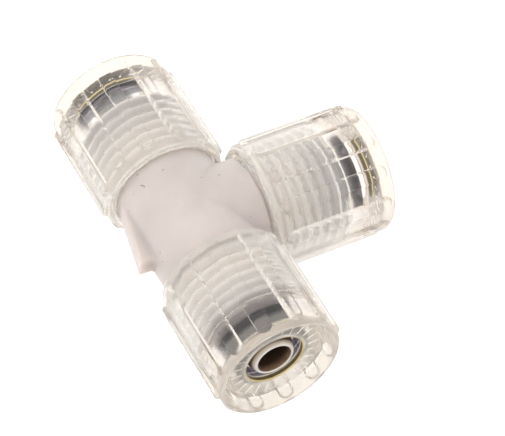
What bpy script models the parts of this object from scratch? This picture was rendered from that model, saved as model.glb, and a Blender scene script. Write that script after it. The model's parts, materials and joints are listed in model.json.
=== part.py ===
"""Tee connector for push-on tube, with three union nuts.

One moulded tee body carries three threaded spigots, each ending in a nipple that the tube is
pushed over. A ribbed union nut turns on each spigot and holds the tube. The run lies along Y with
its front port at -Y, and the branch lies along +X. The connector rests on its nuts at Z = 0, and
the origin is the middle of its footprint.
"""

import math

import bmesh
import bpy
from mathutils import Matrix, Vector

MM = 0.001
MERGE = 0.0001 * MM

# Tee body, in millimetres. Distances along a port start where the run and branch axes cross.
RUN_R = 7.15
BRANCH_R = 7.10
SHOULDER_END = 8.35
SPIGOT_END = 19.3
NIPPLE_R = 3.05
NIPPLE_TIP = 23.1
NIPPLE_TIP_R = 2.75
BARB_R = 3.6
BARB_CREST = 20.6
BARB_BACK = 20.2
BORE_R = 2.33
BRANCH_BORE_R = 2.30

# The tube's end goes into a ring-shaped gap between the nipple and the threaded sleeve.
SLEEVE_R = 4.3
SLEEVE_FLOOR = 14.0

# Lug on the back of the body, a wedge that rises towards the front port.
LUG_REACH = 9.35
LUG_LOW_REACH = 7.45
LUG_ROOT = 5.5
LUG_FRONT = 3.3
LUG_REAR = 6.3
LUG_THICKNESS = 2.8
LUG_EDGE = 0.25

# Thread M12 x 1.5, cut as rings: the radius at crest and root, and where the first crest lies.
THREAD_PITCH = 1.5
THREAD_CREST_R = 5.95
THREAD_ROOT_R = 5.1
THREAD_FIRST = 9.2
THREAD_TURNS = 7
THREAD_GAP = 0.3

# Union nut, measured from its inner end.
NUT_LENGTH = 17.2
NUT_R = 8.5
NUT_ENTRY_R = 7.45
NUT_ENTRY_DEPTH = 1.1
NUT_INNER_ROUND = 1.0
NUT_WALL_INNER = 14.3
NUT_FLOOR = 15.6
NUT_BORE_R = 4.05
NUT_BORE_LEAD_R = 4.75
NUT_BORE_LEAD = 0.4
NUT_FLOOR_EDGE = 0.15
RECESS_FLOOR_R = 7.2
RECESS_TOP_R = 7.75
RIM_INNER_R = 7.9
RIM_OUTER_R = 8.2
RIM_ROUND = 0.3

RIB_COUNT = 12
RIB_R = 9.05
RIB_ROOT_R = 8.1
RIB_WIDTH = 2.2
RIB_START = 0.95
RIB_END = 16.5
RIB_EDGE = 0.25
RIB_PHASE = math.radians(15.0)

# Where each nut's inner end stands. The branch nut is screwed on a little less far.
RUN_NUT_START = 7.6
BRANCH_NUT_START = 8.6

TURN_STEPS = 24

# Resting on two ribs, a nut touches the ground at the near edges of their flat tops.
RIB_TOP_HALF_ANGLE = (RIB_WIDTH / 2 - RIB_EDGE) / RIB_R
AXIS_HEIGHT = RIB_R * math.cos(RIB_PHASE - RIB_TOP_HALF_ANGLE)
AXIS_X = (LUG_REACH - BRANCH_NUT_START - NUT_LENGTH) / 2

# A part turned about its own Z axis is laid along a port by one of these.
TO_FRONT = Matrix.Rotation(math.pi / 2, 4, "X")
TO_REAR = Matrix.Rotation(-math.pi / 2, 4, "X")
TO_BRANCH = Matrix.Rotation(math.pi / 2, 4, "Y")


def clear_scene():
    for old in list(bpy.data.objects):
        bpy.data.objects.remove(old, do_unlink=True)


def new_collection(name):
    collection = bpy.data.collections.new(name)
    bpy.context.scene.collection.children.link(collection)
    return collection


def plastic(name, colour, roughness, alpha):
    material = bpy.data.materials.new(name)
    material.use_nodes = True
    shader = material.node_tree.nodes["Principled BSDF"]
    shader.inputs["Base Color"].default_value = (*colour, 1.0)
    shader.inputs["Roughness"].default_value = roughness
    shader.inputs["Metallic"].default_value = 0.0
    shader.inputs["Alpha"].default_value = alpha
    return material


def place(obj, collection, turn, junction):
    """Puts an object at the crossing of the axes, turned to its port."""
    collection.objects.link(obj)
    obj.parent = junction
    obj.rotation_euler = turn.to_euler()
    return obj


def turned(name, outline, steps):
    """A solid turned about Z from (axial, radial) points that run down the outside."""
    mesh = bpy.data.meshes.new(name)
    points = [(radial * MM, 0.0, axial * MM) for axial, radial in outline]
    closed = outline[0][1] > 0.0
    edges = [(i, i + 1) for i in range(len(points) - 1)]
    if closed:
        edges.append((len(points) - 1, 0))
    mesh.from_pydata(points, edges, [])
    obj = bpy.data.objects.new(name, mesh)
    screw = obj.modifiers.new("turn", "SCREW")
    screw.axis = "Z"
    screw.steps = steps
    screw.render_steps = steps
    screw.use_merge_vertices = True
    screw.merge_threshold = MERGE
    screw.use_smooth_shade = True
    return obj


def combine(obj, other, operation):
    boolean = obj.modifiers.new(other.name, "BOOLEAN")
    boolean.operation = operation
    boolean.solver = "EXACT"
    boolean.object = other


def as_guide(obj):
    obj.hide_render = True
    obj.display_type = "WIRE"
    return obj


def thread_outline(gap, first_crest, crests):
    """Points of the thread rings, as (axial, radial), with a radial gap added."""
    points = [(first_crest - THREAD_PITCH / 2, THREAD_ROOT_R + gap)]
    for turn in range(crests):
        crest = first_crest + turn * THREAD_PITCH
        points.append((crest, THREAD_CREST_R + gap))
        points.append((crest + THREAD_PITCH / 2, THREAD_ROOT_R + gap))
    return points


def port_outline(shoulder_r):
    """The outside of one port, from the shoulder to the nipple's tip."""
    points = [(SHOULDER_END, shoulder_r)]
    points += thread_outline(0.0, THREAD_FIRST, THREAD_TURNS)
    points += [
        (SPIGOT_END, THREAD_ROOT_R),
        (SPIGOT_END, SLEEVE_R),
        (SLEEVE_FLOOR, SLEEVE_R),
        (SLEEVE_FLOOR, NIPPLE_R),
        (BARB_BACK, NIPPLE_R),
        (BARB_CREST, BARB_R),
        (NIPPLE_TIP, NIPPLE_TIP_R),
        (NIPPLE_TIP, 0.0),
    ]
    return points


def nut_outline(start):
    """The union nut as a closed loop. Its thread meets the spigot's rings where it stands."""
    corner = [
        (
            start + NUT_INNER_ROUND * (1 - math.cos(angle)),
            NUT_R - NUT_INNER_ROUND * (1 - math.sin(angle)),
        )
        for angle in (0.0, math.pi / 4, math.pi / 2)
    ]
    end = start + NUT_LENGTH
    floor = start + NUT_FLOOR
    wall = start + NUT_WALL_INNER
    outside = [
        (floor, NUT_BORE_R + NUT_FLOOR_EDGE),
        (floor, RECESS_FLOOR_R),
        (end - RIM_ROUND / 2, RECESS_TOP_R),
        (end, RIM_INNER_R),
        (end, RIM_OUTER_R),
        (end - RIM_ROUND, NUT_R),
    ]
    thread_from = start + NUT_ENTRY_DEPTH + THREAD_PITCH / 2
    skipped = max(math.ceil((thread_from - THREAD_FIRST) / THREAD_PITCH), 0)
    thread = thread_outline(
        THREAD_GAP, THREAD_FIRST + skipped * THREAD_PITCH, THREAD_TURNS - skipped
    )
    inside = [(start, NUT_ENTRY_R), (start + NUT_ENTRY_DEPTH, NUT_ENTRY_R)]
    inside += thread
    inside += [
        (wall, THREAD_ROOT_R + THREAD_GAP),
        (wall, NUT_BORE_LEAD_R),
        (wall + NUT_BORE_LEAD, NUT_BORE_R),
        (floor - NUT_FLOOR_EDGE, NUT_BORE_R),
    ]
    return outside + corner[::-1] + inside


def nut_ribs(name, start):
    """Twelve round-ended ribs wrapped round the nut, as one guide for the union."""
    bm = bmesh.new()
    length = RIB_END - RIB_START
    middle = start + (RIB_START + RIB_END) / 2
    for index in range(RIB_COUNT):
        bar = bmesh.new()
        bmesh.ops.create_cube(bar, size=1.0)
        height = RIB_R - RIB_ROOT_R
        bmesh.ops.scale(bar, vec=Vector((height, RIB_WIDTH, length)), verts=bar.verts)
        uprights = [e for e in bar.edges if abs(e.verts[0].co.x - e.verts[1].co.x) > height / 2]
        bmesh.ops.bevel(
            bar,
            geom=uprights,
            offset=RIB_WIDTH * 0.49,
            segments=2,
            profile=0.5,
            affect="EDGES",
        )
        top = [e for e in bar.edges if min(v.co.x for v in e.verts) > height / 2 - 1e-4]
        bmesh.ops.bevel(
            bar, geom=top, offset=RIB_EDGE, segments=1, profile=0.5, affect="EDGES"
        )
        turn = RIB_PHASE + index * 2 * math.pi / RIB_COUNT
        for vert in bar.verts:
            radial = RIB_ROOT_R + height / 2 + vert.co.x
            angle = turn + vert.co.y / RIB_R
            along = middle + vert.co.z
            vert.co = Vector((radial * math.cos(angle), radial * math.sin(angle), along)) * MM
        rib = bpy.data.meshes.new("rib")
        bar.to_mesh(rib)
        bar.free()
        bm.from_mesh(rib)
        bpy.data.meshes.remove(rib)
    mesh = bpy.data.meshes.new(name)
    bm.to_mesh(mesh)
    bm.free()
    return bpy.data.objects.new(name, mesh)


def lug(name):
    """The wedge on the back of the body: a box with its rear end drawn in."""
    bm = bmesh.new()
    bmesh.ops.create_cube(bm, size=1.0)
    for vert in bm.verts:
        outer = vert.co.x < 0
        front = vert.co.y < 0
        reach = LUG_REACH if front else LUG_LOW_REACH
        x = -reach if outer else -LUG_ROOT
        y = -LUG_FRONT if front else LUG_REAR
        z = math.copysign(LUG_THICKNESS / 2, vert.co.z)
        vert.co = Vector((x, y, z)) * MM
    mesh = bpy.data.meshes.new(name)
    bm.to_mesh(mesh)
    bm.free()
    obj = bpy.data.objects.new(name, mesh)
    edge = obj.modifiers.new("edge", "BEVEL")
    edge.width = LUG_EDGE * MM
    edge.segments = 1
    return obj


def bore_outline(inner, radius):
    """A bore cutter from an inner end out past the nipple's tip, top to bottom."""
    clear = NIPPLE_TIP + 1.0
    return [(clear, 0.0), (clear, radius), (inner, radius), (inner, 0.0)]


def build_body(parts, cutters, junction):
    port = port_outline(RUN_R)
    rear_half = [(-axial, radial) for axial, radial in port]
    run = turned("tee_body", port[::-1] + rear_half, TURN_STEPS)
    place(run, parts, TO_FRONT, junction)
    run.data.materials.append(plastic("body_plastic", (0.80, 0.76, 0.72), 0.35, 1.0))

    branch_outline = port_outline(BRANCH_R)[::-1] + [(0.0, BRANCH_R), (0.0, 0.0)]
    branch = turned("branch_solid", branch_outline, TURN_STEPS)
    place(as_guide(branch), cutters, TO_BRANCH, junction)
    back = place(as_guide(lug("back_lug_solid")), cutters, Matrix.Identity(4), junction)

    run_bore = turned("run_bore", bore_outline(-NIPPLE_TIP - 1.0, BORE_R), TURN_STEPS)
    place(as_guide(run_bore), cutters, TO_FRONT, junction)
    branch_bore = turned("branch_bore", bore_outline(0.0, BRANCH_BORE_R), TURN_STEPS)
    place(as_guide(branch_bore), cutters, TO_BRANCH, junction)

    combine(run, branch, "UNION")
    combine(run, back, "UNION")
    combine(run, run_bore, "DIFFERENCE")
    combine(run, branch_bore, "DIFFERENCE")


def build_nut(name, start, turn, parts, cutters, junction):
    nut = turned(name, nut_outline(start), TURN_STEPS)
    place(nut, parts, turn, junction)
    nut.data.materials.append(plastic(name + "_plastic", (0.90, 0.87, 0.82), 0.2, 0.6))
    ribs = place(as_guide(nut_ribs(name + "_ribs", start)), cutters, turn, junction)
    combine(nut, ribs, "UNION")


def main():
    clear_scene()
    parts = new_collection("union_tee_connector")
    cutters = new_collection("cutters")
    junction = bpy.data.objects.new("axes_crossing", None)
    junction.location = Vector((AXIS_X, 0.0, AXIS_HEIGHT)) * MM
    parts.objects.link(junction)
    build_body(parts, cutters, junction)
    build_nut("front_union_nut", RUN_NUT_START, TO_FRONT, parts, cutters, junction)
    build_nut("rear_union_nut", RUN_NUT_START, TO_REAR, parts, cutters, junction)
    build_nut("branch_union_nut", BRANCH_NUT_START, TO_BRANCH, parts, cutters, junction)


main()
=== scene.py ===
"""Looks of the union tee connector: a milky moulded body with three clear ribbed union nuts.

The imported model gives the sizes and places. This script makes the fine surfaces on it: threads,
ribs, rounded edges and moulded marks, the plastics, and a soft studio round them.
"""

import json
import math

import bmesh
import bpy
import numpy as np
from mathutils import Matrix, Vector


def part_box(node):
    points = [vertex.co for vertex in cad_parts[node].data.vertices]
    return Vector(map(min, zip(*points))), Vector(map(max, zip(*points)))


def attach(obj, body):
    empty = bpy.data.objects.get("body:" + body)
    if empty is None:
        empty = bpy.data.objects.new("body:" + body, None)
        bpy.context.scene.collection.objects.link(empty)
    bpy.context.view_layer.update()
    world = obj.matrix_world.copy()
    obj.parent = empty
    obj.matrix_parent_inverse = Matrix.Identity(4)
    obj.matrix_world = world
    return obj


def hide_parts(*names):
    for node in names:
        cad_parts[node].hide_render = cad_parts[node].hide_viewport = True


MM = 0.001

# Body, in millimetres. Distances along a port start where the run and branch axes cross.
RUN_R = 7.15
BRANCH_R = 7.10
SHOULDER = 8.35
SPIGOT_ROOT = 5.0
SPIGOT_CORE = 1.2
NECK_DEPTH = 0.4
SPIGOT_END = 19.3
NIPPLE_R = 3.05
NIPPLE_TIP = 23.1
NIPPLE_TIP_R = 2.75
BARB_R = 3.6
BARB_CREST = 20.6
BARB_BACK = 20.2
BORE_R = 2.33
BORE_MOUTH_R = 2.41
SLEEVE_R = 4.3
SLEEVE_FLOOR = 14.0
EDGE = 0.2
TIP_EDGE = 0.06
FILLET_VOXEL = 0.28
FILLET_ROUNDS = 7

LUG_REACH = 9.3
LUG_LOW_REACH = 7.4
LUG_ROOT = 5.0
LUG_FRONT = 3.3
LUG_REAR = 6.3
LUG_THICKNESS = 2.7

THREAD_PITCH = 1.5
THREAD_CREST_R = 5.95
THREAD_ROOT_R = 5.1
THREAD_FIRST = 9.2
THREAD_TURNS = 7
THREAD_GAP = 0.25
THREAD_POINTS = 12
CREST_FLAT = 0.16

# Union nut, measured from its inner end.
NUT_LENGTH = 17.2
NUT_R = 8.5
ENTRY_R = 7.45
ENTRY_DEPTH = 1.1
INNER_ROUND = 1.0
CAVITY_R = 5.35
NUT_THREAD_END = 11.7
WALL_INNER = 14.3
FLOOR = 15.6
BORE_HOLE_R = 4.05
BORE_HOLE_LEAD = 0.4
BORE_HOLE_FLARE = 0.7
RECESS_FLOOR_R = 7.2
RECESS_TOP_R = 7.8
RIM_ROUND = 0.3

RIB_COUNT = 12
RIB_HEIGHT = 0.55
RIB_HALF_WIDTH = 1.1
RIB_START = 0.95
RIB_END = 16.5
RIB_EDGE = 0.5
RIB_PHASE = math.radians(15.0)

MARK_COUNT = 24
MARK_INNER_R = 4.75
MARK_OUTER_R = 6.35
MARK_WIDTH = 0.26
MARK_HEIGHT = 0.14
MARK_EDGE = 0.05

STEPS = 144
BORE_STEPS = 96
FINE_STEP = 0.12
BODY_SHARP = 40.0
NUT_SHARP = 38.0

# Colours of the body, with painted light and shade on its ports, bores and sleeves, by distance along a
# port in millimetres.
BODY_BASE = ((0.50, 0.445, 0.415), (0.56, 0.50, 0.47))
BODY_SPECK = (0.16, 0.11, 0.08)
SHOULDER_BLEND = (8.3, 8.9)
# The spigot's milky colour, with painted light near the shoulder and painted shade that deepens to near
# black round the nipple inside the nut, less dark at the nipple's tip.
PORT_PAINTED_LIGHT_AND_SHADE = [
    (8.4, (0.86, 0.79, 0.75)),
    (13.5, (0.78, 0.72, 0.69)),
    (17.0, (0.42, 0.38, 0.39)),
    (19.0, (0.14, 0.125, 0.15)),
    (19.4, (0.030, 0.022, 0.014)),
    (22.1, (0.018, 0.013, 0.007)),
    (22.5, (0.30, 0.26, 0.22)),
    (23.1, (0.50, 0.45, 0.40)),
]
# Painted shade down the bores, darkest deep inside.
BORE_PAINTED_SHADE = [
    (18.0, (0.014, 0.008, 0.004)),
    (22.0, (0.04, 0.023, 0.014)),
    (22.4, (0.09, 0.06, 0.04)),
]
# Painted shade in the hollow sleeve round each nipple.
SLEEVE_PAINTED_SHADE = (0.035, 0.027, 0.012)

# Colours of a nut's inside, and painted shade in the hollow round the nipple, by distance along its
# port.
NUT_BASE = ((0.96, 0.935, 0.895), (0.985, 0.965, 0.935))
# Painted shade on the inner surfaces of the hollow round the nipple, broken by one thin lighter line.
HOLLOW_END = 22.1
HOLLOW_PAINTED_SHADE = [
    (19.6, (0.022, 0.016, 0.024)),
    (20.52, (0.008, 0.005, 0.008)),
    (20.64, (0.16, 0.14, 0.16)),
    (20.8, (0.012, 0.008, 0.012)),
    (21.4, (0.026, 0.022, 0.034)),
    (21.88, (0.020, 0.015, 0.010)),
]

# Colours, with painted shade and a painted highlight in the hole, and finish of a nut, by distance from
# its inner end.
NUT_TINT = [
    (11.0, (1.0, 1.0, 1.0)),
    (12.04, (0.95, 0.93, 0.935)),
    (14.28, (0.95, 0.93, 0.935)),
    (15.14, (0.95, 0.91, 0.86)),
]
# Painted shade down the nut's hole, with a painted warm highlight at its outer edge.
HOLE_PAINTED_SHADE_AND_HIGHLIGHT = [
    (14.69, (0.60, 0.52, 0.40)),
    (14.98, (0.014, 0.009, 0.003)),
    (15.39, (0.012, 0.008, 0.002)),
    (15.47, (0.50, 0.36, 0.10)),
]
NUT_FROST = [(10.32, 0.17), (11.87, 0.05), (14.28, 0.05), (14.96, 0.16), (15.82, 0.16), (16.34, 0.34)]
NUT_CLEARNESS = [(10.32, 0.80), (11.87, 0.97), (14.28, 0.97), (14.96, 0.84)]
THREAD_FROST = 0.12
NUT_ABSORPTION = (0.75, 0.60, 0.42)
NUT_ABSORPTION_DENSITY = 20.0

FLOOR_GLOW = 1.0
FLOOR_RADIUS = 3.0
STUDIO_LIGHT = 1.27
SKY_COLOURS = [
    (0.0, (0.90, 0.89, 0.88)),
    (0.25, (0.94, 0.93, 0.93)),
    (0.55, (0.98, 0.98, 0.98)),
    (1.0, (0.90, 0.90, 0.90)),
]
SKY_SEEN = (0.81, 0.81, 0.81)
LIGHT_BOUNCES = 24

CAMERA_AZIMUTH = -121.914
CAMERA_ELEVATION = 50.63
CAMERA_ROLL = 5.66
CAMERA_DISTANCE = 371.47
CAMERA_RIGHT = 7.868
CAMERA_UP = 1.505
CAMERA_LENS = 202.6

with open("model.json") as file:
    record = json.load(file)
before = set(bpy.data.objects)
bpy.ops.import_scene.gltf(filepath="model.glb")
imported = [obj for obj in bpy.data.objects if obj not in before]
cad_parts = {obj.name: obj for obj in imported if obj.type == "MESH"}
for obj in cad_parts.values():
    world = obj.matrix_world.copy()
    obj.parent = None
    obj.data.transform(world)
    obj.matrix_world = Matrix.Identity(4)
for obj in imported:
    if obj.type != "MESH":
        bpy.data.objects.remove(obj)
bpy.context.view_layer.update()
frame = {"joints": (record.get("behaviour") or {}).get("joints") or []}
JUNCTION = Vector(frame["joints"][0]["pos_m"])


def toward(axis):
    """The matrix that lays a part made along +Z along a port's axis, through the junction."""
    turn = {
        "front": Matrix.Rotation(math.pi / 2, 4, "X"),
        "rear": Matrix.Rotation(-math.pi / 2, 4, "X"),
        "branch": Matrix.Rotation(math.pi / 2, 4, "Y"),
    }[axis]
    return Matrix.Translation(JUNCTION) @ turn


def mesh_object(name, mesh):
    obj = bpy.data.objects.new(name, mesh)
    bpy.context.scene.collection.objects.link(obj)
    return obj


def arc(centre_s, centre_r, radius, start, end, count):
    """Points of an arc as (axial, radial), with angles in degrees from the axial direction."""
    angles = np.radians(np.linspace(start, end, count))
    return [(centre_s + radius * math.cos(a), centre_r + radius * math.sin(a)) for a in angles]


def line(start, end, step):
    """Points from start up to but not including end, about a step apart."""
    count = max(1, round(math.dist(start, end) / step))
    start = np.array(start)
    reach = np.array(end) - start
    return [tuple(start + reach * i / count) for i in range(count)]


def smooth(x):
    """Rises from 0 to 1 with level ends."""
    x = np.clip(x, 0.0, 1.0)
    return x * x * (3 - 2 * x)


def thread_points(gap, first, turns):
    """A rounded V thread as (axial, radial) points."""
    half = THREAD_PITCH / 2
    points = []
    for turn in range(turns):
        crest = first + turn * THREAD_PITCH
        for t in np.linspace(-1.0, 1.0, THREAD_POINTS, endpoint=False):
            rise = 1 - smooth((abs(t) * half - CREST_FLAT) / (half - CREST_FLAT))
            height = rise * (THREAD_CREST_R - THREAD_ROOT_R)
            points.append((crest + t * half, THREAD_ROOT_R + gap + height))
    return points


def lathe(name, outline, steps=STEPS, radial=None, closed=True, angles=None):
    """A turned mesh about Z. outline holds (axial, radial) points. radial changes a radius by angle."""
    s = np.array([p[0] for p in outline])
    r = np.array([p[1] for p in outline])
    if angles is None:
        angles = np.linspace(0, 2 * math.pi, steps, endpoint=False)
    steps = len(angles)
    count = len(s)
    grid_s = np.broadcast_to(s, (steps, count))
    grid_r = np.broadcast_to(r, (steps, count)).copy()
    if radial is not None:
        grid_r = radial(grid_s, grid_r, angles[:, None])
    x = grid_r * np.cos(angles)[:, None]
    y = grid_r * np.sin(angles)[:, None]
    points = np.stack([x, y, grid_s], axis=-1).reshape(-1, 3) * MM
    index = np.arange(steps * count).reshape(steps, count)
    turned_on = np.roll(index, -1, axis=0)
    if closed:
        along = np.roll(index, -1, axis=1)
        along_on = np.roll(turned_on, -1, axis=1)
    else:
        along = index[:, 1:]
        along_on = turned_on[:, 1:]
        index = index[:, :-1]
        turned_on = turned_on[:, :-1]
    faces = np.stack([index, turned_on, along_on, along], axis=-1).reshape(-1, 4)
    mesh = bpy.data.meshes.new(name)
    mesh.from_pydata(points.tolist(), [], faces.tolist())
    bm = bmesh.new()
    bm.from_mesh(mesh)
    bmesh.ops.remove_doubles(bm, verts=bm.verts, dist=0.002 * MM)
    bmesh.ops.recalc_face_normals(bm, faces=bm.faces)
    bm.to_mesh(mesh)
    bm.free()
    return mesh_object(name, mesh)


def join(obj, other, operation):
    boolean = obj.modifiers.new(other.name, "BOOLEAN")
    boolean.operation = operation
    boolean.solver = "MANIFOLD"
    boolean.object = other


def settle(obj, spent=()):
    """Applies an object's modifiers and removes the objects that they used."""
    bpy.context.view_layer.update()
    evaluated = obj.evaluated_get(bpy.context.evaluated_depsgraph_get())
    mesh = bpy.data.meshes.new_from_object(evaluated)
    obj.modifiers.clear()
    obj.data = mesh
    for other in spent:
        bpy.data.objects.remove(other, do_unlink=True)


def shade(obj, angle):
    """Smooth shading, with the edges sharper than the angle in degrees kept sharp."""
    obj.data.shade_smooth()
    obj.data.set_sharp_from_angle(angle=math.radians(angle))


# Plastics


def new_material(name):
    material = bpy.data.materials.new(name)
    material.use_nodes = True
    tree = material.node_tree
    return material, tree, tree.nodes["Principled BSDF"]


def add(tree, kind, **values):
    node = tree.nodes.new(kind)
    for key, value in values.items():
        setattr(node, key, value)
    return node


def noise(tree, coordinates, scale, detail=3.0, roughness=0.5):
    node = add(tree, "ShaderNodeTexNoise")
    node.inputs["Scale"].default_value = scale
    node.inputs["Detail"].default_value = detail
    node.inputs["Roughness"].default_value = roughness
    tree.links.new(coordinates, node.inputs["Vector"])
    return node.outputs["Fac"]


def ramp(tree, value, stops):
    node = add(tree, "ShaderNodeValToRGB")
    elements = node.color_ramp.elements
    while len(elements) > 1:
        elements.remove(elements[-1])
    elements[0].position, elements[0].color = stops[0][0], (*stops[0][1], 1.0)
    for position, colour in stops[1:]:
        element = elements.new(position)
        element.color = (*colour, 1.0)
    tree.links.new(value, node.inputs["Fac"])
    return node.outputs["Color"]


def maths(tree, operation, a, b=None):
    node = add(tree, "ShaderNodeMath", operation=operation)
    for socket, value in zip(node.inputs, (a, b)):
        if value is None:
            continue
        if isinstance(value, (int, float)):
            socket.default_value = value
        else:
            tree.links.new(value, socket)
    return node.outputs["Value"]


def mix_colour(tree, factor, a, b, blend="MIX"):
    node = add(tree, "ShaderNodeMix", data_type="RGBA", blend_type=blend)
    if isinstance(factor, (int, float)):
        node.inputs["Factor"].default_value = factor
    else:
        tree.links.new(factor, node.inputs["Factor"])
    for socket, value in ((node.inputs["A"], a), (node.inputs["B"], b)):
        if isinstance(value, tuple):
            socket.default_value = (*value, 1.0)
        else:
            tree.links.new(value, socket)
    return node.outputs["Result"]


def scaled(tree, value, low, high, to_low=0.0, to_high=1.0):
    """Maps low to high onto to_low to to_high, and holds the ends beyond them."""
    node = add(tree, "ShaderNodeMapRange")
    node.inputs["From Min"].default_value = low
    node.inputs["From Max"].default_value = high
    node.inputs["To Min"].default_value = to_low
    node.inputs["To Max"].default_value = to_high
    tree.links.new(value, node.inputs["Value"])
    return node.outputs["Result"]


def bands(tree, distance, stops):
    """A ramp over a distance in millimetres. stops holds (distance, colour or grey value)."""
    low = stops[0][0]
    high = stops[-1][0]
    placed = [
        ((at - low) / (high - low), (value,) * 3 if isinstance(value, float) else value)
        for at, value in stops
    ]
    return ramp(tree, scaled(tree, distance, low, high), placed)


def all_of(tree, *masks):
    """The product of masks from 0 to 1."""
    result = masks[0]
    for mask in masks[1:]:
        result = maths(tree, "MULTIPLY", result, mask)
    return result


def bump(tree, shader, height, strength, distance):
    node = add(tree, "ShaderNodeBump")
    node.inputs["Strength"].default_value = strength
    node.inputs["Distance"].default_value = distance
    tree.links.new(height, node.inputs["Height"])
    tree.links.new(node.outputs["Normal"], shader.inputs["Normal"])


def port_coordinates(tree):
    """(distance along the nearest port, distance from that port's axis), in millimetres."""
    where = add(tree, "ShaderNodeTexCoord").outputs["Object"]
    moved = add(tree, "ShaderNodeVectorMath", operation="SUBTRACT")
    moved.inputs[1].default_value = JUNCTION
    tree.links.new(where, moved.inputs[0])
    split = add(tree, "ShaderNodeSeparateXYZ")
    tree.links.new(moved.outputs["Vector"], split.inputs["Vector"])
    x = maths(tree, "MULTIPLY", split.outputs["X"], 1000.0)
    y = maths(tree, "ABSOLUTE", maths(tree, "MULTIPLY", split.outputs["Y"], 1000.0))
    z = maths(tree, "MULTIPLY", split.outputs["Z"], 1000.0)
    on_branch = maths(tree, "GREATER_THAN", x, y)
    along = maths(tree, "MAXIMUM", x, y)
    across_run = maths(tree, "MULTIPLY", x, maths(tree, "SUBTRACT", 1.0, on_branch))
    across = maths(tree, "ADD", across_run, maths(tree, "MULTIPLY", y, on_branch))
    z2 = maths(tree, "MULTIPLY", z, z)
    across2 = maths(tree, "MULTIPLY", across, across)
    away = maths(tree, "SQRT", maths(tree, "ADD", z2, across2))
    return where, along, away


def body_plastic():
    """A milky plastic, with painted light and shade along the ports and painted shade inside the bores
    and the sleeves.
    """
    material, tree, shader = new_material("milky_body_plastic")
    where, along, away = port_coordinates(tree)
    cloud = noise(tree, where, 160.0, 4.0)
    base = ramp(tree, cloud, [(0.30, BODY_BASE[0]), (0.70, BODY_BASE[1])])
    # Painted light and shade along each port.
    on_port = scaled(tree, along, *SHOULDER_BLEND)
    colour = mix_colour(tree, on_port, base, bands(tree, along, PORT_PAINTED_LIGHT_AND_SHADE))
    # Painted shade down the bores.
    in_bore = scaled(tree, away, BORE_R + 0.09, BORE_R + 0.03)
    colour = mix_colour(tree, in_bore, colour, bands(tree, along, BORE_PAINTED_SHADE))
    # Painted shade in the hollow sleeve round each nipple.
    in_sleeve = all_of(
        tree,
        scaled(tree, away, SLEEVE_R + 0.25, SLEEVE_R + 0.05),
        scaled(tree, away, NIPPLE_R - 0.15, NIPPLE_R - 0.05),
        scaled(tree, along, SLEEVE_FLOOR - 1.0, SLEEVE_FLOOR - 0.2),
    )
    colour = mix_colour(tree, in_sleeve, colour, SLEEVE_PAINTED_SHADE)
    specks = noise(tree, where, 1500.0, 1.0)
    colour = mix_colour(tree, scaled(tree, specks, 0.765, 0.785, 0.0, 0.75), colour, BODY_SPECK)
    tree.links.new(colour, shader.inputs["Base Color"])
    tree.links.new(scaled(tree, cloud, 0.3, 0.7, 0.30, 0.42), shader.inputs["Roughness"])
    shader.inputs["Subsurface Weight"].default_value = 0.9
    shader.inputs["Subsurface Radius"].default_value = (1.0, 0.85, 0.75)
    shader.inputs["Subsurface Scale"].default_value = 3.5 * MM
    shader.inputs["IOR"].default_value = 1.46
    bump(tree, shader, noise(tree, where, 900.0, 3.0), 0.12, 0.06 * MM)
    return material


def nut_plastic(name, start):
    """A clear plastic, milky over the thread and the rim, with painted shade in the hollow and painted
    shade and a painted highlight in the hole.
    """
    material, tree, shader = new_material(name)
    where, along, away = port_coordinates(tree)
    from_start = maths(tree, "SUBTRACT", along, start)
    cloud = noise(tree, where, 120.0, 4.0)
    colour = ramp(tree, cloud, [(0.3, NUT_BASE[0]), (0.7, NUT_BASE[1])])
    colour = mix_colour(tree, 1.0, colour, bands(tree, from_start, NUT_TINT), "MULTIPLY")
    # Painted shade on the inner surfaces of the hollow round the nipple.
    in_hollow = all_of(
        tree,
        scaled(tree, away, CAVITY_R + 0.35, CAVITY_R + 0.15),
        scaled(tree, from_start, NUT_THREAD_END + 0.1, NUT_THREAD_END + 0.3),
        scaled(tree, along, HOLLOW_END, HOLLOW_END - 0.1),
    )
    colour = mix_colour(tree, in_hollow, colour, bands(tree, along, HOLLOW_PAINTED_SHADE))
    # Painted shade down the nut's hole, with a painted warm highlight at its outer edge.
    in_hole = all_of(
        tree,
        scaled(tree, away, BORE_HOLE_R + 0.3, BORE_HOLE_R + 0.08),
        scaled(tree, from_start, WALL_INNER, WALL_INNER + 0.1),
    )
    colour = mix_colour(tree, in_hole, colour, bands(tree, from_start, HOLE_PAINTED_SHADE_AND_HIGHLIGHT))
    tree.links.new(colour, shader.inputs["Base Color"])
    frost = bands(tree, from_start, NUT_FROST)
    haze = maths(tree, "ADD", frost, scaled(tree, cloud, 0.3, 0.7, 0.0, 0.06))
    in_thread = scaled(tree, away, THREAD_CREST_R + 0.6, THREAD_CREST_R + 0.4, 0.0, THREAD_FROST)
    tree.links.new(maths(tree, "ADD", haze, in_thread), shader.inputs["Roughness"])
    clearness = bands(tree, from_start, NUT_CLEARNESS)
    tree.links.new(clearness, shader.inputs["Transmission Weight"])
    shader.inputs["IOR"].default_value = 1.30
    tint = add(tree, "ShaderNodeVolumeAbsorption")
    tint.inputs["Color"].default_value = (*NUT_ABSORPTION, 1.0)
    tint.inputs["Density"].default_value = NUT_ABSORPTION_DENSITY
    tree.links.new(tint.outputs["Volume"], tree.nodes["Material Output"].inputs["Volume"])
    bump(tree, shader, noise(tree, where, 420.0, 3.0), 0.10, 0.05 * MM)
    return material


# Pieces


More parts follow.
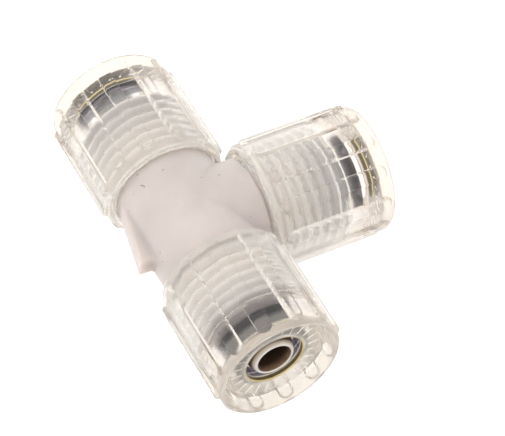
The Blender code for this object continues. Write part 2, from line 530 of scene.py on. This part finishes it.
def build_middle():
    """The body between its shoulders, with the run, the branch and the lug flowing together."""
    side = line((-SHOULDER, RUN_R), (SHOULDER, RUN_R), 1.0)
    end = [(SHOULDER, RUN_R), (SHOULDER, 0.0)]
    run = lathe("middle", [(-SHOULDER, 0.0)] + side + end, closed=False)
    run.matrix_world = toward("front")
    outline = [(0.0, 0.0), (0.0, BRANCH_R), (SHOULDER, BRANCH_R), (SHOULDER, 0.0)]
    branch = lathe("branch_middle", outline, closed=False)
    branch.matrix_world = toward("branch")
    bm = bmesh.new()
    bmesh.ops.create_cube(bm, size=1.0)
    for vert in bm.verts:
        front = vert.co.y < 0
        reach = LUG_REACH if front else LUG_LOW_REACH
        x = -reach if vert.co.x < 0 else -LUG_ROOT
        y = -LUG_FRONT if front else LUG_REAR
        vert.co = Vector((x, y, vert.co.z * LUG_THICKNESS)) * MM
    mesh = bpy.data.meshes.new("lug")
    bm.to_mesh(mesh)
    bm.free()
    lug = mesh_object("lug", mesh)
    lug.matrix_world = Matrix.Translation(JUNCTION)
    join(run, branch, "UNION")
    join(run, lug, "UNION")
    remesh = run.modifiers.new("even", "REMESH")
    remesh.mode = "VOXEL"
    remesh.voxel_size = FILLET_VOXEL * MM
    soft = run.modifiers.new("fillet", "SMOOTH")
    soft.factor = 0.5
    soft.iterations = FILLET_ROUNDS
    settle(run, (branch, lug))
    return run


def build_spigot(port, shoulder_r):
    """One port beyond the shoulder: the threaded sleeve and the barbed nipple inside it."""
    core = shoulder_r - SPIGOT_CORE
    neck = SHOULDER - NECK_DEPTH
    outline = [(SPIGOT_ROOT, 0.0), (SPIGOT_ROOT, core), (neck, core), (neck, THREAD_ROOT_R)]
    outline += thread_points(0.0, THREAD_FIRST, THREAD_TURNS)
    outline += [(SPIGOT_END - 0.15, THREAD_ROOT_R), (SPIGOT_END, THREAD_ROOT_R - 0.15)]
    outline += [(SPIGOT_END, SLEEVE_R + EDGE), (SPIGOT_END - EDGE, SLEEVE_R)]
    outline += line((SPIGOT_END - 0.3, SLEEVE_R), (SLEEVE_FLOOR + EDGE, SLEEVE_R), 0.6)
    outline += [(SLEEVE_FLOOR + EDGE, SLEEVE_R), (SLEEVE_FLOOR, SLEEVE_R - EDGE)]
    outline += [(SLEEVE_FLOOR, NIPPLE_R + EDGE), (SLEEVE_FLOOR + EDGE, NIPPLE_R)]
    outline += line((SLEEVE_FLOOR + 0.3, NIPPLE_R), (BARB_BACK, NIPPLE_R), 0.6)
    outline += [(BARB_BACK, NIPPLE_R), (BARB_CREST - 0.1, BARB_R - 0.04), (BARB_CREST, BARB_R)]
    taper_end = (NIPPLE_TIP - 0.1, NIPPLE_TIP_R + 0.05)
    outline += line((BARB_CREST + 0.1, BARB_R - 0.02), taper_end, 0.3)
    outline += [(NIPPLE_TIP - TIP_EDGE, NIPPLE_TIP_R), (NIPPLE_TIP, NIPPLE_TIP_R - TIP_EDGE)]
    outline += [(NIPPLE_TIP, 0.0)]
    spigot = lathe(port + "_spigot", outline, closed=False)
    spigot.matrix_world = toward(port)
    return spigot


def build_bore(port, inner):
    """The cutter of one bore, a little wider at the nipple's mouth."""
    beyond = NIPPLE_TIP + 1.0
    outline = [(inner, 0.0), (inner, BORE_R)]
    outline += [(NIPPLE_TIP - 0.1, BORE_R), (NIPPLE_TIP - 0.02, BORE_R + 0.03)]
    outline += [(NIPPLE_TIP, BORE_MOUTH_R), (beyond, BORE_MOUTH_R), (beyond, 0.0)]
    bore = lathe(port + "_bore", outline, steps=BORE_STEPS, closed=False)
    bore.matrix_world = toward(port)
    return bore


def build_body():
    """The whole moulding, as one piece in place of the CAD body."""
    body = build_middle()
    body.name = "moulded_tee_body"
    spigots = [
        build_spigot("front", RUN_R),
        build_spigot("rear", RUN_R),
        build_spigot("branch", BRANCH_R),
    ]
    bores = [build_bore("front", -1.0), build_bore("rear", -1.0), build_bore("branch", 0.0)]
    body.data.transform(body.matrix_world)
    body.matrix_world = Matrix.Identity(4)
    for spigot in spigots:
        join(body, spigot, "UNION")
    for bore in bores:
        join(body, bore, "DIFFERENCE")
    settle(body, spigots + bores)
    shade(body, BODY_SHARP)
    body.data.materials.clear()
    body.data.materials.append(body_plastic())
    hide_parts("tee_body")
    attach(body, "tee")
    return body


def nut_outline(start):
    """The union nut's section as a closed loop of (axial, radial) points."""
    end = start + NUT_LENGTH
    floor = start + FLOOR
    wall = start + WALL_INNER
    loop = arc(start + INNER_ROUND, NUT_R - INNER_ROUND, INNER_ROUND, 180.0, 90.0, 9)
    ribs_even = start + RIB_START + 2.0
    ribs_closing = start + RIB_END - 1.6
    loop += line((start + INNER_ROUND + 0.08, NUT_R), (ribs_even, NUT_R), FINE_STEP)
    loop += line((ribs_even, NUT_R), (ribs_closing, NUT_R), 0.5)
    loop += line((ribs_closing, NUT_R), (end - RIM_ROUND, NUT_R), FINE_STEP)
    loop += arc(end - RIM_ROUND, NUT_R - RIM_ROUND, RIM_ROUND, 90.0, 0.0, 6)
    loop += arc(end - EDGE, RECESS_TOP_R + EDGE, EDGE, 0.0, -70.0, 5)[1:]
    loop += line((end - 0.45, RECESS_TOP_R - 0.08), (floor + 0.2, RECESS_FLOOR_R + 0.05), 0.3)
    loop += [(floor + 0.1, RECESS_FLOOR_R - 0.02), (floor, RECESS_FLOOR_R - 0.15)]
    loop += line((floor, RECESS_FLOOR_R - 0.25), (floor, BORE_HOLE_R + 0.2), 0.4)
    loop += arc(floor - 0.12, BORE_HOLE_R + 0.12, 0.12, 0.0, -90.0, 5)
    loop += line((floor - EDGE, BORE_HOLE_R), (wall + BORE_HOLE_LEAD, BORE_HOLE_R), 0.3)
    loop += [(wall + BORE_HOLE_LEAD, BORE_HOLE_R), (wall, BORE_HOLE_R + BORE_HOLE_FLARE)]
    loop += [(wall, CAVITY_R - 0.1), (wall - 0.1, CAVITY_R)]
    loop += line((wall - 0.2, CAVITY_R), (start + NUT_THREAD_END + 0.2, CAVITY_R), 0.4)
    thread_from = start + ENTRY_DEPTH + THREAD_PITCH / 2
    skipped = max(math.ceil((thread_from - THREAD_FIRST) / THREAD_PITCH), 0)
    first = THREAD_FIRST + skipped * THREAD_PITCH
    turns = round((start + NUT_THREAD_END - first) / THREAD_PITCH + 0.5)
    rings = thread_points(THREAD_GAP, first, turns)
    loop += rings[::-1]
    loop += [(start + ENTRY_DEPTH, ENTRY_R), (start + 0.2, ENTRY_R), (start, ENTRY_R + 0.15)]
    return loop


def rib_angles():
    """Angles round the nut, closer together at the ribs' edges."""
    half_sector = math.pi / RIB_COUNT
    edge = RIB_HALF_WIDTH / (NUT_R + RIB_HEIGHT)
    blend_angle = RIB_EDGE / NUT_R
    side = np.concatenate([
        np.linspace(0.0, edge - blend_angle, 4, endpoint=False),
        np.linspace(edge - blend_angle, edge + 0.2 * blend_angle, 7, endpoint=False),
        np.linspace(edge + 0.2 * blend_angle, half_sector, 5, endpoint=False),
    ])
    sector = np.concatenate([-side[:0:-1], side, [half_sector]])
    centres = RIB_PHASE + np.arange(RIB_COUNT) * 2 * half_sector
    return (centres[:, None] + sector[None, :]).reshape(-1)


def rib_radius(start):
    """A function that lifts the nut's outside into twelve round-ended ribs."""
    half_sector = math.pi / RIB_COUNT

    def lifted(s, r, angles):
        offset = np.mod(angles - RIB_PHASE + half_sector, 2 * half_sector) - half_sector
        across = offset * (NUT_R + RIB_HEIGHT)
        low = start + RIB_START + RIB_HALF_WIDTH
        high = start + RIB_END - RIB_HALF_WIDTH
        beyond = np.maximum(np.maximum(low - s, s - high), 0.0)
        depth = RIB_HALF_WIDTH - np.hypot(across, beyond)
        height = RIB_HEIGHT * np.sqrt(np.clip(1 - (1 - np.clip(depth / RIB_EDGE, 0, 1)) ** 2, 0, 1))
        outside = (r > NUT_R - 0.35) & (s > start + 0.4) & (s < start + NUT_LENGTH - EDGE)
        return np.where(outside & (depth > 0), np.maximum(r, NUT_R + height), r)

    return lifted


def build_marks(name, start, port):
    """Plain raised strokes round the port, as moulded alignment marks."""
    bm = bmesh.new()
    for index in range(MARK_COUNT):
        bar = bmesh.new()
        bmesh.ops.create_cube(bar, size=1.0)
        length = MARK_OUTER_R - MARK_INNER_R
        bmesh.ops.scale(bar, vec=Vector((length, MARK_WIDTH, MARK_HEIGHT * 2)), verts=bar.verts)
        bmesh.ops.bevel(bar, geom=bar.edges, offset=MARK_EDGE, segments=2, profile=0.5, affect="EDGES")
        turn = Matrix.Rotation((index + 0.5) * 2 * math.pi / MARK_COUNT, 4, "Z")
        shift = Matrix.Translation(((MARK_OUTER_R + MARK_INNER_R) / 2, 0.0, start + FLOOR))
        bmesh.ops.transform(bar, matrix=Matrix.Scale(MM, 4) @ turn @ shift, verts=bar.verts)
        mesh = bpy.data.meshes.new("bar")
        bar.to_mesh(mesh)
        bar.free()
        bm.from_mesh(mesh)
        bpy.data.meshes.remove(mesh)
    mesh = bpy.data.meshes.new(name)
    bm.to_mesh(mesh)
    bm.free()
    obj = mesh_object(name, mesh)
    obj.matrix_world = toward(port)
    return obj


def build_nut(port, start):
    """One union nut with its marks, in place of the CAD nut. start is its inner end's distance."""
    name = port + "_union_nut"
    nut = lathe("clear_" + name, nut_outline(start), radial=rib_radius(start), angles=rib_angles())
    nut.data.transform(toward(port))
    marks = build_marks(name + "_marks", start, port)
    join(nut, marks, "UNION")
    settle(nut, (marks,))
    shade(nut, NUT_SHARP)
    nut.data.materials.clear()
    nut.data.materials.append(nut_plastic(port + "_nut_clear_plastic", start))
    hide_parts(name)
    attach(nut, port + "_nut")
    return nut


# Studio


def build_floor():
    bm = bmesh.new()
    bmesh.ops.create_circle(bm, cap_ends=True, segments=96, radius=FLOOR_RADIUS)
    mesh = bpy.data.meshes.new("floor")
    bm.to_mesh(mesh)
    bm.free()
    floor = mesh_object("floor", mesh)
    floor.location.z = -0.05 * MM
    material, tree, shader = new_material("white_paper")
    where = add(tree, "ShaderNodeTexCoord").outputs["Object"]
    paper = noise(tree, where, 40.0, 3.0)
    colour = ramp(tree, paper, [(0.3, (0.22, 0.22, 0.22)), (0.7, (0.24, 0.24, 0.24))])
    tree.links.new(colour, shader.inputs["Base Color"])
    shader.inputs["Emission Color"].default_value = (1.0, 1.0, 1.0, 1.0)
    shader.inputs["Emission Strength"].default_value = FLOOR_GLOW
    shader.inputs["Roughness"].default_value = 0.9
    shader.inputs["Specular IOR Level"].default_value = 0.1
    floor.data.materials.append(material)


def build_world():
    """A soft white studio, brightest half way up, which the camera itself sees as plain white."""
    world = bpy.data.worlds.new("studio")
    bpy.context.scene.world = world
    world.use_nodes = True
    tree = world.node_tree
    background = tree.nodes["Background"]
    direction = add(tree, "ShaderNodeTexCoord").outputs["Generated"]
    split = add(tree, "ShaderNodeSeparateXYZ")
    tree.links.new(direction, split.inputs["Vector"])
    light = ramp(tree, split.outputs["Z"], SKY_COLOURS)
    seen = add(tree, "ShaderNodeLightPath").outputs["Is Camera Ray"]
    tree.links.new(mix_colour(tree, seen, light, SKY_SEEN), background.inputs["Color"])
    background.inputs["Strength"].default_value = STUDIO_LIGHT


def add_softbox(name, direction, distance, size, power):
    light = bpy.data.lights.new(name, "AREA")
    light.shape = "SQUARE"
    light.size = size
    light.energy = power
    lamp = bpy.data.objects.new(name, light)
    bpy.context.scene.collection.objects.link(lamp)
    way = Vector(direction).normalized()
    lamp.location = JUNCTION + way * distance
    lamp.rotation_euler = way.to_track_quat("Z", "Y").to_euler()


def add_camera():
    azimuth = math.radians(CAMERA_AZIMUTH)
    elevation = math.radians(CAMERA_ELEVATION)
    roll = math.radians(CAMERA_ROLL)
    back = Vector((
        math.cos(elevation) * math.cos(azimuth),
        math.cos(elevation) * math.sin(azimuth),
        math.sin(elevation),
    ))
    level = Vector((0, 0, 1)).cross(back).normalized()
    upward = back.cross(level)
    right = level * math.cos(roll) + upward * math.sin(roll)
    up = upward * math.cos(roll) - level * math.sin(roll)
    camera = bpy.data.objects.new("camera", bpy.data.cameras.new("camera"))
    camera.data.lens = CAMERA_LENS
    camera.data.sensor_width = 36.0
    place = JUNCTION + (back * CAMERA_DISTANCE + right * CAMERA_RIGHT + up * CAMERA_UP) * MM
    turn = Matrix((right, up, back)).transposed().to_4x4()
    camera.matrix_world = Matrix.Translation(place) @ turn
    camera.data.clip_start = 0.01
    bpy.context.scene.collection.objects.link(camera)
    bpy.context.scene.camera = camera


build_body()
for port, axis in (("front", 1), ("rear", 1), ("branch", 0)):
    low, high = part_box(port + "_union_nut")
    near = min(abs(low[axis] - JUNCTION[axis]), abs(high[axis] - JUNCTION[axis]))
    build_nut(port, near / MM)
build_floor()
build_world()
add_softbox("key", (-0.5, 0.3, 1.0), 1.5, 2.0, 8.0)
add_camera()
bpy.context.scene.view_settings.view_transform = "Standard"
bpy.context.scene.cycles.max_bounces = LIGHT_BOUNCES
bpy.context.scene.cycles.transmission_bounces = LIGHT_BOUNCES
